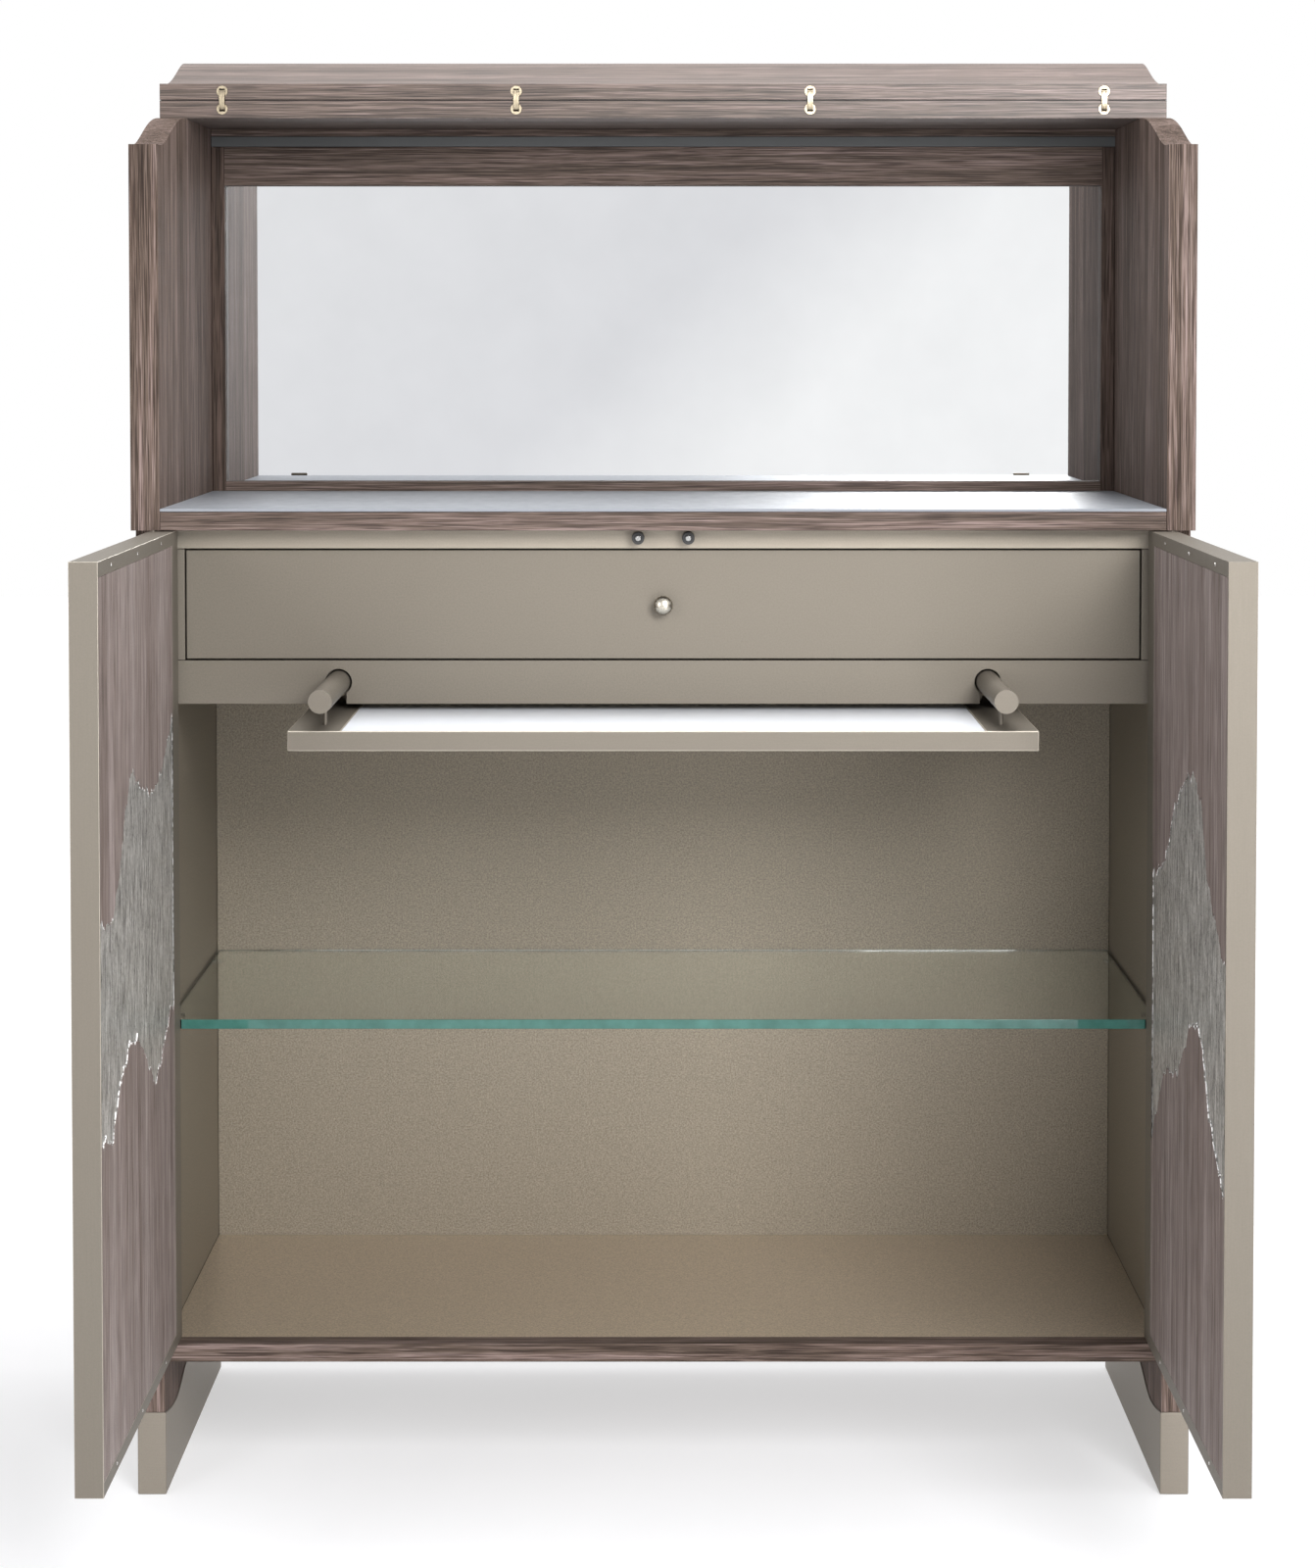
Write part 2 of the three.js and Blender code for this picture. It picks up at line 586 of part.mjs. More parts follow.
function makeDrawer() {
  const half = INNER - STILE - DRAWER_REVEAL;
  const z = [DRAWER_BOTTOM + DRAWER_REVEAL, DRAWER_TOP - DRAWER_REVEAL];
  add("drawer_front", box([-half, half], [FRAME_SET_BACK, RAIL_BACK], z), champagne);
  const boxHalf = half - DRAWER_INSET;
  const y = [RAIL_BACK + GAP, RAIL_BACK + GAP + DRAWER_BOX_DEPTH];
  const boxZ = [z[0] + DRAWER_FLOOR, z[1] - DRAWER_BOX_DROP];
  const outer = box([-boxHalf, boxHalf], y, boxZ);
  const hollow = box(
    [-boxHalf + DRAWER_WALL, boxHalf - DRAWER_WALL],
    [y[0] + DRAWER_WALL, y[1] - DRAWER_WALL],
    [boxZ[0] + DRAWER_FLOOR, boxZ[1] + OVERCUT],
  );
  const middle = DRAWER_BOTTOM + RUNNER_Z * DRAWER_ZONE;
  const runnerZ = [middle - RUNNER_HEIGHT / 2, middle + RUNNER_HEIGHT / 2];
  const groove = (side) =>
    box(
      spanX(side, boxHalf - RUNNER_TONGUE - RUNNER_CLEAR, boxHalf + OVERCUT),
      [y[0] + GAP, y[1] + OVERCUT],
      [runnerZ[0] - RUNNER_CLEAR / 2, runnerZ[1] + RUNNER_CLEAR / 2],
    );
  add("drawer_box", cut(outer, hollow, groove(-1), groove(1)), wood);
  bothSides((word, side) => {
    const runner = box(spanX(side, boxHalf - RUNNER_TONGUE, BOARD), [y[0] + 2 * GAP, BACK_Y - GAP], runnerZ);
    add(`drawer_runner_${word}`, runner, wood);
  });
  add("knob", makeKnob((z[0] + z[1]) / 2), champagne);
}

// A domed knob on a short waisted post, turned about Y.
function makeKnob(height) {
  const post = [
    [0, 0],
    [KNOB_FOOT_R, 0],
    [KNOB_POST_R, KNOB_FOOT_OUT],
    [KNOB_POST_R, KNOB_POST_OUT],
  ];
  const dome = [...Array(KNOB_STEPS).keys()].map((i) => {
    const angle = KNOB_UNDERCUT + ((Math.PI / 2 - KNOB_UNDERCUT) * i) / KNOB_STEPS;
    const rise = angle > 0 ? KNOB_OUT - KNOB_BRIM_OUT : KNOB_BRIM_OUT - KNOB_POST_OUT;
    return [KNOB_R * Math.cos(angle), KNOB_BRIM_OUT + rise * Math.sin(angle)];
  });
  const profile = [...post, ...dome, [0, KNOB_OUT]].map(([r, out]) => new THREE.Vector2(r, out));
  const turned = new THREE.LatheGeometry(profile, 40).rotateX(Math.PI);
  return solid(turned.translate(0, FRAME_SET_BACK - GAP, height));
}

function makeTray() {
  const y = [TRAY_FRONT, TRAY_FRONT + TRAY_DEPTH];
  const z = [TRAY_TOP - TRAY_THICK, TRAY_TOP];
  const frame = box([-TRAY_HALF, TRAY_HALF], y, z);
  const recessY = [y[0] + TRAY_LIP, y[1] - TRAY_BACK_BAR];
  const inner = TRAY_HALF - TRAY_BAR;
  const recess = box([-inner, inner], recessY, [z[1] - TRAY_GLASS - GAP, z[1] + OVERCUT]);
  add("tray_frame", cut(frame, recess), champagne);
  const glass = box(
    [-inner + GAP, inner - GAP],
    [recessY[0] + GAP, recessY[1] - GAP],
    [z[1] - TRAY_GLASS, z[1] - GAP],
  );
  add("tray_glass", glass, whiteGlass);
  bothSides((word, side) => {
    const x = side * ROD_SPACING;
    const rod = slabY(disc(ROD_R, 48, [x, ROD_Z]), y[0], y[0] + ROD_LENGTH);
    const hangers = [HANGER_FRONT, HANGER_BACK].map((back) => {
      const pin = disc(HANGER_R, 16, [x, y[0] + back]);
      return slabZ(pin, z[1] + GAP, ROD_Z);
    });
    add(`tray_rod_${word}`, join(rod, ...hangers), champagne);
    add(`rod_guide_${word}`, makeGuide(x), champagne);
  });
}

function makeGuide(x) {
  const y = [RAIL_BACK + GAP, RAIL_BACK + GAP + GUIDE_DEPTH];
  const block = box([x - GUIDE_HALF, x + GUIDE_HALF], y, [ROD_Z - GUIDE_HALF, DUST_BOTTOM - GAP]);
  const bore = slabY(disc(GUIDE_BORE_R, 48, [x, ROD_Z]), y[0] - OVERCUT, y[1] + OVERCUT);
  const slot = box(
    [x - GUIDE_SLOT / 2, x + GUIDE_SLOT / 2],
    [y[0] - OVERCUT, y[1] + OVERCUT],
    [ROD_Z - GUIDE_HALF - OVERCUT, ROD_Z],
  );
  return cut(block, bore, slot);
}

function shelfPinPlaces() {
  const [front, back] = SHELF_PIN_SHARES.map((share) => SHELF_FRONT + (BACK_Y - SHELF_FRONT) * share);
  return { front, back };
}

function shelfPin(side, y, radius, reach) {
  const round = disc(radius, 20, [y, SHELF_BOTTOM - GAP - SHELF_PIN_R]);
  return slabX(round, ...spanX(side, INNER + reach - SHELF_PIN_LENGTH, INNER + reach));
}

function shelfPinBores(side) {
  const places = Object.values(shelfPinPlaces());
  return places.map((y) => shelfPin(side, y, SHELF_PIN_R + GAP / 2, SHELF_PIN_BORE + GAP));
}

function makeShelf() {
  const half = INNER - SHELF_SIDE_CLEAR;
  const back = BACK_Y - GAP;
  const outline = [
    [-half + SHELF_CHAMFER, SHELF_FRONT],
    [half - SHELF_CHAMFER, SHELF_FRONT],
    [half, SHELF_FRONT + SHELF_CHAMFER_DEPTH],
    [half, back],
    [-half, back],
    [-half, SHELF_FRONT + SHELF_CHAMFER_DEPTH],
  ];
  add("glass_shelf", slabZ(outline, SHELF_BOTTOM, SHELF_BOTTOM + SHELF_GLASS), clearGlass);
  bothSides((word, side) => {
    Object.entries(shelfPinPlaces()).forEach(([end, y]) => {
      add(`shelf_pin_${end}_${word}`, shelfPin(side, y, SHELF_PIN_R, SHELF_PIN_BORE), silver);
    });
  });
}

makeSides();
makeBoards();
makeNiche();
makeTops();
makeDoors();
makeFaceFrame();
makeCatches();
makeDrawer();
makeTray();
makeShelf();

// The origin is under the middle of the whole object with its doors open.
cabinet.position.y = -(DOOR_FRONT_Y + DEPTH) / 2;

export default cabinet;
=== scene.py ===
import json
import math

import bmesh
import bpy
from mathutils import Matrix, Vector, noise


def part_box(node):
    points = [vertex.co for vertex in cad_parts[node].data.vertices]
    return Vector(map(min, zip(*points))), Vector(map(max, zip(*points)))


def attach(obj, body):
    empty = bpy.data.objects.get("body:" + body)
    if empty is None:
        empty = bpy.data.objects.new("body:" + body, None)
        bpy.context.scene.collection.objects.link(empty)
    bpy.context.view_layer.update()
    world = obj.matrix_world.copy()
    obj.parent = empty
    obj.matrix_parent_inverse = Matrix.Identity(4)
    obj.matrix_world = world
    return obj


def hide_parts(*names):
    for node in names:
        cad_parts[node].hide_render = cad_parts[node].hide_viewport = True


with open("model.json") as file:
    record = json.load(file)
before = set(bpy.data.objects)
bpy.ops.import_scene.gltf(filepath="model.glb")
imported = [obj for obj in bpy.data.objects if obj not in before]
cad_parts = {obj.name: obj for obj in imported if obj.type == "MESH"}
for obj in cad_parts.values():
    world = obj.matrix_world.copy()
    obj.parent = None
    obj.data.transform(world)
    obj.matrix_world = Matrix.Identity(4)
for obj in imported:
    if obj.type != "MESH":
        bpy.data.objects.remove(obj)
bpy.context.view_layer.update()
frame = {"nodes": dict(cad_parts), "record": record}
nodes = frame["nodes"]
bodies = frame["record"]["behaviour"]["bodies"]
body_of_node = {node: body for body, members in bodies.items() for node in members}
SIDES = {"left": -1, "right": 1}
POST_WIDTH = 0.0157  # mirror frame's upright, across its front
SILL_RISE = 0.0113  # mirror frame's sill over the counter glass
SKIN = 0.0004  # how far a painted zone reaches past the face that bounds it
FAR = 9.0  # past every edge of the object
WELD = 1e-6  # corners closer than this are one corner

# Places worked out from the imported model, in metres
front_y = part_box("bottom_board")[0].y
floor_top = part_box("bottom_board")[1].z
counter_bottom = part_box("counter_board")[0].z
inner_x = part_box("side_panel_right")[0].x
shelf_low, shelf_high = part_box("glass_shelf")
post_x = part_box("mirror_frame")[1].x - POST_WIDTH
sill_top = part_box("counter_glass")[1].z + SILL_RISE

# Colours, linear
WOOD_DARK = (0.028, 0.020, 0.017, 1)
WOOD_BROWN = (0.078, 0.057, 0.045, 1)
WOOD_TAUPE = (0.133, 0.099, 0.084, 1)
WOOD_PALE = (0.244, 0.192, 0.176, 1)
WOOD_STOPS = [(0.05, WOOD_DARK), (0.34, WOOD_BROWN), (0.6, WOOD_TAUPE), (0.95, WOOD_PALE)]
DOOR_STOPS = [
    (0.05, (0.070, 0.050, 0.043, 1)),
    (0.34, (0.158, 0.124, 0.110, 1)),
    (0.6, (0.235, 0.198, 0.184, 1)),
    (0.95, (0.350, 0.312, 0.300, 1)),
]
CHAMPAGNE = (0.150, 0.133, 0.110, 1)
# Painted highlight: a light copy of the champagne for the rounded edges of the door frames and the tray
# frame
EDGE_PAINTED_HIGHLIGHT = (0.42, 0.385, 0.33, 1)
LEG_CHAMPAGNE = (0.215, 0.190, 0.158, 1)
LACQUER = (0.150, 0.132, 0.107, 1)
# Painted light: the cupboard's lacquer, lighter than the same lacquer on the front, to lift the shade
# inside the cupboard
INNER_LACQUER_PAINTED_LIGHT = (0.240, 0.210, 0.168, 1)
# Painted light: the cupboard floor's lacquer, lighter than the walls' same lacquer, as light falling on its
# upward face
FLOOR_LACQUER_PAINTED_LIGHT = (0.460, 0.385, 0.300, 1)
# Painted highlight: the top rail's lacquer, about twice as light as the same lacquer on the drawer, for the
# highlight along the rail
RAIL_LACQUER_PAINTED_HIGHLIGHT = (0.300, 0.268, 0.222, 1)
SILVER = (0.50, 0.49, 0.475, 1)
SILVER_DARK = (0.085, 0.082, 0.080, 1)
SILVER_PALE = (0.86, 0.85, 0.84, 1)
BRASS = (0.36, 0.305, 0.22, 1)


# Small node tools
def start(name):
    material = bpy.data.materials.new(name)
    material.use_nodes = True
    tree = material.node_tree
    tree.nodes.clear()
    shader = tree.nodes.new("ShaderNodeBsdfPrincipled")
    output = tree.nodes.new("ShaderNodeOutputMaterial")
    tree.links.new(shader.outputs["BSDF"], output.inputs["Surface"])
    return material, tree, shader


def put(tree, kind, values=None, **settings):
    made = tree.nodes.new(kind)
    for key, value in settings.items():
        setattr(made, key, value)
    feed(tree, made, values or {})
    return made


def feed(tree, made, values):
    for key, value in values.items():
        if isinstance(value, bpy.types.NodeSocket):
            tree.links.new(value, made.inputs[key])
        else:
            made.inputs[key].default_value = value


def object_coords(tree):
    return put(tree, "ShaderNodeTexCoord").outputs["Object"]


def scaled(tree, coords, scale, shift=0.0):
    values = {"Vector": coords, "Scale": scale, "Location": (shift, 0.7 * shift, 1.3 * shift)}
    return put(tree, "ShaderNodeMapping", values).outputs["Vector"]


def grains(tree, coords, scale, detail=2.0, roughness=0.5):
    values = {"Vector": coords, "Scale": scale, "Detail": detail, "Roughness": roughness}
    return put(tree, "ShaderNodeTexNoise", values).outputs["Fac"]


def calc(tree, operation, a, b=0.0):
    return put(tree, "ShaderNodeMath", {0: a, 1: b}, operation=operation).outputs[0]


def spread(tree, value, low, high, out_low=0.0, out_high=1.0):
    values = {"Value": value, "From Min": low, "From Max": high, "To Min": out_low, "To Max": out_high}
    return put(tree, "ShaderNodeMapRange", values).outputs["Result"]


def ramp(tree, value, stops):
    made = put(tree, "ShaderNodeValToRGB", {"Fac": value})
    elements = made.color_ramp.elements
    while len(elements) < len(stops):
        elements.new(0.5)
    for element, (place, colour) in zip(elements, stops):
        element.position = place
        element.color = colour
    return made.outputs["Color"]


def blend_colour(tree, factor, a, b, how="MIX"):
    made = put(tree, "ShaderNodeMix", data_type="RGBA", blend_type=how)
    feed(tree, made, {0: factor, 6: a, 7: b})
    return made.outputs[2]


def blend_value(tree, factor, a, b):
    made = put(tree, "ShaderNodeMix", data_type="FLOAT")
    feed(tree, made, {0: factor, 2: a, 3: b})
    return made.outputs[0]


def bump(tree, height, distance, strength=1.0):
    values = {"Height": height, "Distance": distance, "Strength": strength}
    return put(tree, "ShaderNodeBump", values).outputs["Normal"]


# Wood: fine straight streaks along one axis, broader colour bands and short dark pores.
# Scales are features per metre across the grain.
SWAY_SCALE = 3.5
SWAY_REACH = (0.005, 0.005, 0.005)
STREAK_SCALE = 1080
BAND_SCALE = 190
BROAD_SCALE = 22
PORE_SCALE = 1050
PINK_TINT = (1.06, 0.95, 0.97, 1)
# Painted shade: how dark the seam between the fixed top and the leaf is painted
PAINTED_SEAM_SHADE = (0.22, 0.20, 0.19, 1)
BOARD_CONTRAST = 1.5
DOOR_CONTRAST = 1.3


def wood_layers(tree, coords, grain, seed, contrast=1.0, stops=None):
    axis = "XYZ".index(grain)
    sway = put(tree, "ShaderNodeTexNoise", {"Vector": coords, "Scale": SWAY_SCALE, "Detail": 1.0})
    reach = {0: sway.outputs["Color"], 1: SWAY_REACH}
    pull = put(tree, "ShaderNodeVectorMath", reach, operation="MULTIPLY")
    bent = put(tree, "ShaderNodeVectorMath", {0: coords, 1: pull.outputs[0]}).outputs[0]

    def along(share):
        return [share if i == axis else 1.0 for i in range(3)]

    streak = grains(tree, scaled(tree, bent, along(0.012), seed), STREAK_SCALE, 3.0, 0.65)
    band = grains(tree, scaled(tree, bent, along(0.014), seed + 5), BAND_SCALE, 3.0, 0.55)
    broad = grains(tree, scaled(tree, bent, along(0.05), seed + 9), BROAD_SCALE, 2.0, 0.5)
    pore = grains(tree, scaled(tree, bent, along(0.015), seed + 14), PORE_SCALE, 1.0, 0.4)
    fine = calc(tree, "MULTIPLY", spread(tree, streak, 0.3, 0.7), 0.5)
    medium = calc(tree, "MULTIPLY", spread(tree, band, 0.32, 0.68), 0.28)
    wide = calc(tree, "MULTIPLY", spread(tree, broad, 0.3, 0.7), 0.22)
    tone = calc(tree, "ADD", calc(tree, "ADD", fine, medium), wide)
    tone = spread(tree, tone, 0.5 - 0.5 / contrast, 0.5 + 0.5 / contrast)
    colour = ramp(tree, tone, stops or WOOD_STOPS)
    holes = spread(tree, pore, 0.54, 0.62)
    colour = blend_colour(tree, calc(tree, "MULTIPLY", holes, 0.48 * contrast), colour, WOOD_DARK)
    pink = spread(tree, band, 0.42, 0.62)
    blush = calc(tree, "MULTIPLY", pink, 0.35)
    colour = blend_colour(tree, blush, colour, PINK_TINT, "MULTIPLY")
    roughness = spread(tree, streak, 0.3, 0.7, 0.58, 0.74)
    height = calc(tree, "SUBTRACT", calc(tree, "MULTIPLY", streak, 0.6), calc(tree, "MULTIPLY", holes, 0.5))
    return colour, roughness, height


# Metallic champagne finish: fine flake grain and faint cloudiness
FLAKE_SCALE = 520
CLOUD_SCALE = 7
CLOUD_TINT = (0.92, 0.90, 0.86, 1)
BRUSH_SCALE = 1400


def champagne_layers(tree, coords, base, seed, flake):
    flakes = grains(tree, scaled(tree, coords, (1, 1, 1), seed), FLAKE_SCALE, 3.0, 0.75)
    cloud = grains(tree, scaled(tree, coords, (1, 1, 1), seed + 3), CLOUD_SCALE, 2.0, 0.5)
    dark = tuple(c * (1 - flake) for c in base[:3]) + (1,)
    light = tuple(min(1, c * (1 + flake)) for c in base[:3]) + (1,)
    colour = ramp(tree, spread(tree, flakes, 0.25, 0.75), [(0.0, dark), (0.5, base), (1.0, light)])
    haze = calc(tree, "MULTIPLY", cloud, 0.25)
    colour = blend_colour(tree, haze, colour, CLOUD_TINT, "MULTIPLY")
    roughness = spread(tree, flakes, 0.25, 0.75, 0.46, 0.62)
    return colour, roughness, flakes


def painted_seam_shade(tree, coords, colour, shaded_seam):
    """Colour darkened on upright faces along the level of the joint between two boards: painted shade in
    the seam.
    """
    level = put(tree, "ShaderNodeSeparateXYZ", {"Vector": coords}).outputs["Z"]
    off = calc(tree, "ABSOLUTE", calc(tree, "SUBTRACT", level, shaded_seam))
    facing = put(tree, "ShaderNodeTexCoord").outputs["Normal"]
    slant = calc(tree, "ABSOLUTE", put(tree, "ShaderNodeSeparateXYZ", {"Vector": facing}).outputs["Z"])
    close = spread(tree, off, 0.0007, 0.0013, 1.0, 0.0)
    shaded = calc(tree, "MULTIPLY", close, calc(tree, "LESS_THAN", slant, 0.8))
    return blend_colour(tree, shaded, colour, PAINTED_SEAM_SHADE, "MULTIPLY")


def wood(name, grain, seed, contrast=1.0, stops=None, varnish=0.0, shaded_seam=None):
    material, tree, shader = start(name)
    coords = object_coords(tree)
    colour, roughness, height = wood_layers(tree, coords, grain, seed, contrast, stops)
    # Painted shade along the seam with the next board
    if shaded_seam is not None:
        colour = painted_seam_shade(tree, coords, colour, shaded_seam)
    normal = bump(tree, height, 0.0004, 0.6)
    feed(tree, shader, {"Base Color": colour, "Roughness": roughness, "Normal": normal})
    shader.inputs["Specular IOR Level"].default_value = 0.15
    shader.inputs["Coat Weight"].default_value = varnish
    shader.inputs["Coat Roughness"].default_value = 0.35
    return material


def champagne(name, base, seed, metallic, flake, brushed=None):
    material, tree, shader = start(name)
    coords = object_coords(tree)
    colour, roughness, height = champagne_layers(tree, coords, base, seed, flake)
    if brushed:
        stretch = [0.02 if i == "XYZ".index(brushed) else 1.0 for i in range(3)]
        lines = grains(tree, scaled(tree, coords, stretch, seed + 8), BRUSH_SCALE, 2.0, 0.6)
        height = calc(tree, "ADD", height, calc(tree, "MULTIPLY", lines, 0.8))
        roughness = calc(tree, "ADD", roughness, spread(tree, lines, 0.3, 0.7, -0.04, 0.04))
    normal = bump(tree, height, 0.00008, 0.5)
    feed(tree, shader, {"Base Color": colour, "Roughness": roughness, "Normal": normal})
    shader.inputs["Metallic"].default_value = metallic
    return material


def inside_box(tree, coords, low, high):
    """1 inside the box, 0 outside it; X is measured from the middle on both sides."""
    split = put(tree, "ShaderNodeSeparateXYZ", {"Vector": coords}).outputs
    places = [calc(tree, "ABSOLUTE", split[0]), split[1], split[2]]
    tests = []
    for place, bottom, top in zip(places, low, high):
        tests.append(calc(tree, "GREATER_THAN", place, bottom))
        tests.append(calc(tree, "LESS_THAN", place, top))
    whole = tests[0]
    for test in tests[1:]:
        whole = calc(tree, "MULTIPLY", whole, test)
    return whole


# Wooden boards whose cupboard faces are lacquered champagne
def lacquered_wood(name, grain, seed, low, high, contrast=1.0, base=INNER_LACQUER_PAINTED_LIGHT, dull=1.0):
    material, tree, shader = start(name)
    coords = object_coords(tree)
    mask = inside_box(tree, coords, low, high)
    colour, roughness, height = wood_layers(tree, coords, grain, seed, contrast)
    lacquer, gloss, flakes = champagne_layers(tree, coords, base, seed, 0.5)
    gloss = calc(tree, "MULTIPLY", gloss, dull)
    normal = bump(tree, blend_value(tree, mask, calc(tree, "MULTIPLY", height, 4.0), flakes), 0.0001, 0.6)
    values = {
        "Base Color": blend_colour(tree, mask, colour, lacquer),
        "Roughness": blend_value(tree, mask, roughness, gloss),
        "Metallic": calc(tree, "MULTIPLY", mask, 0.55),
        "Normal": normal,
    }
    feed(tree, shader, values)
    shader.inputs["Specular IOR Level"].default_value = 0.03
    return material


# Hammered bark with long vertical ridges
BARK_STOPS = [(0.0, SILVER_DARK), (0.5, SILVER), (1.0, SILVER_PALE)]
RIDGE_SCALE = 300
FLECK_SCALE = 900


def bark(name, seed):
    material, tree, shader = start(name)
    coords = object_coords(tree)
    ridges = grains(tree, scaled(tree, coords, (1, 1, 0.10), seed), RIDGE_SCALE, 4.0, 0.7)
    flecks = grains(tree, scaled(tree, coords, (1, 1, 0.3), seed + 4), FLECK_SCALE, 2.0, 0.6)
    tone = calc(tree, "ADD", calc(tree, "MULTIPLY", ridges, 0.7), calc(tree, "MULTIPLY", flecks, 0.3))
    colour = ramp(tree, spread(tree, tone, 0.40, 0.61), BARK_STOPS)
    roughness = spread(tree, flecks, 0.3, 0.7, 0.25, 0.5)
    normal = bump(tree, tone, 0.003, 1.0)
    feed(tree, shader, {"Base Color": colour, "Roughness": roughness, "Normal": normal})
    shader.inputs["Metallic"].default_value = 0.75
    return material


def polished(name, base, seed, roughness=0.2, metallic=1.0):
    material, tree, shader = start(name)
    coords = object_coords(tree)
    marks = grains(tree, scaled(tree, coords, (1, 1, 1), seed), 700, 3.0, 0.6)
    dull = tuple(c * 0.82 for c in base[:3]) + (1,)
    colour = ramp(tree, marks, [(0.3, dull), (0.7, base)])
    rough = spread(tree, marks, 0.3, 0.7, roughness * 0.8, roughness * 1.3)
    normal = bump(tree, marks, 0.00005, 0.4)
    feed(tree, shader, {"Base Color": colour, "Roughness": rough, "Normal": normal})
    shader.inputs["Metallic"].default_value = metallic
    return material


# Foil edge whose colour holds painted glints: short broken patches of near white between dark ones
def painted_glint_foil(name, seed):
    material, tree, shader = start(name)
    coords = object_coords(tree)
    glint_patches = grains(tree, scaled(tree, coords, (1, 1, 1), seed), 230, 2.0, 0.6)
    creases = grains(tree, scaled(tree, coords, (1, 1, 1), seed + 6), 800, 2.0, 0.6)
    # Painted glints: near-white patches between dark ones
    colour = ramp(tree, glint_patches, [(0.44, (0.16, 0.15, 0.14, 1)), (0.52, (0.97, 0.97, 0.96, 1))])
    rough = spread(tree, creases, 0.3, 0.7, 0.16, 0.34)
    normal = bump(tree, creases, 0.0006, 0.8)
    feed(tree, shader, {"Base Color": colour, "Roughness": rough, "Normal": normal})
    shader.inputs["Metallic"].default_value = 0.2
    return material


def painted_glass(name, base, seed, roughness, shine):
    material, tree, shader = start(name)
    coords = object_coords(tree)
    haze = grains(tree, scaled(tree, coords, (1, 1, 1), seed), 12, 3.0, 0.6)
    smears = grains(tree, scaled(tree, coords, (1, 0.3, 1), seed + 2), 60, 3.0, 0.6)
    dull = tuple(c * 0.94 for c in base[:3]) + (1,)
    colour = ramp(tree, haze, [(0.3, dull), (0.7, base)])
    rough = spread(tree, smears, 0.3, 0.7, roughness * 0.92, roughness * 1.12)
    feed(tree, shader, {"Base Color": colour, "Roughness": rough})
    shader.inputs["Specular IOR Level"].default_value = shine
    return material


# Clear glass, green in a rim along the cut edges; it lets most light of the lamps through
CUT_EDGE = 0.0008
RIM_STOPS = [(0.3, (0.036, 0.128, 0.106, 1)), (0.7, (0.060, 0.188, 0.158, 1))]
# Painted shade: the rear and side cut edges, darker than the front one
REAR_RIM_PAINTED_SHADE = (0.008, 0.022, 0.018, 1)
CLEAR_STOPS = [(0.3, (0.88, 0.95, 0.92, 1)), (0.7, (0.92, 0.98, 0.955, 1))]


def shelf_glass(name):
    material, tree, shader = start(name)
    coords = object_coords(tree)
    low = (-1.0, shelf_low.y + CUT_EDGE, -1.0)
    high = (shelf_high.x - CUT_EDGE, shelf_high.y - CUT_EDGE, FAR)
    middle = inside_box(tree, coords, low, high)
    haze = grains(tree, coords, 40, 3.0, 0.6)
    rim = ramp(tree, haze, RIM_STOPS)
    clear = ramp(tree, haze, CLEAR_STOPS)
    depth = put(tree, "ShaderNodeSeparateXYZ", {"Vector": coords}).outputs["Y"]
    shaded_rim = calc(tree, "GREATER_THAN", depth, shelf_low.y + 2 * CUT_EDGE)
    # Rear and side edges get the painted shade
    rim = blend_colour(tree, shaded_rim, rim, REAR_RIM_PAINTED_SHADE)
    colour = blend_colour(tree, middle, rim, clear)
    feed(tree, shader, {"Base Color": colour, "Roughness": spread(tree, haze, 0.3, 0.7, 0.01, 0.04)})
    shadow = put(tree, "ShaderNodeLightPath").outputs["Is Shadow Ray"]
    feed(tree, shader, {"Transmission Weight": blend_value(tree, middle, 0.25, 1.0)})
    feed(tree, shader, {"Alpha": spread(tree, shadow, 0.0, 1.0, 1.0, 0.12)})
    shader.inputs["IOR"].default_value = 1.45
    return material


def mirror_glass(name):
    material, tree, shader = start(name)
    haze = grains(tree, object_coords(tree), 9, 3.0, 0.6)
    colour = ramp(tree, haze, [(0.3, (0.86, 0.87, 0.88, 1)), (0.7, (0.90, 0.91, 0.92, 1))])
    feed(tree, shader, {"Base Color": colour, "Roughness": spread(tree, haze, 0.3, 0.7, 0.005, 0.02)})
    shader.inputs["Metallic"].default_value = 1.0
    return material


# Mirror frame: grain across in the rails, upright and darker in the posts
def framed_wood(name, seed, low, high):
    material, tree, shader = start(name)
    coords = object_coords(tree)
    mask = inside_box(tree, coords, low, high)
    across, rough_across, height_across = wood_layers(tree, coords, "X", seed, BOARD_CONTRAST)
    upright, rough_upright, height_upright = wood_layers(tree, coords, "Z", seed + 2, BOARD_CONTRAST)
    upright = blend_colour(tree, 1.0, upright, (0.62, 0.58, 0.55, 1), "MULTIPLY")
    height = blend_value(tree, mask, height_upright, height_across)
    values = {
        "Base Color": blend_colour(tree, mask, upright, across),
        "Roughness": blend_value(tree, mask, rough_upright, rough_across),
        "Normal": bump(tree, height, 0.0004, 0.6),
    }
    feed(tree, shader, values)
    shader.inputs["Specular IOR Level"].default_value = 0.15
    return material


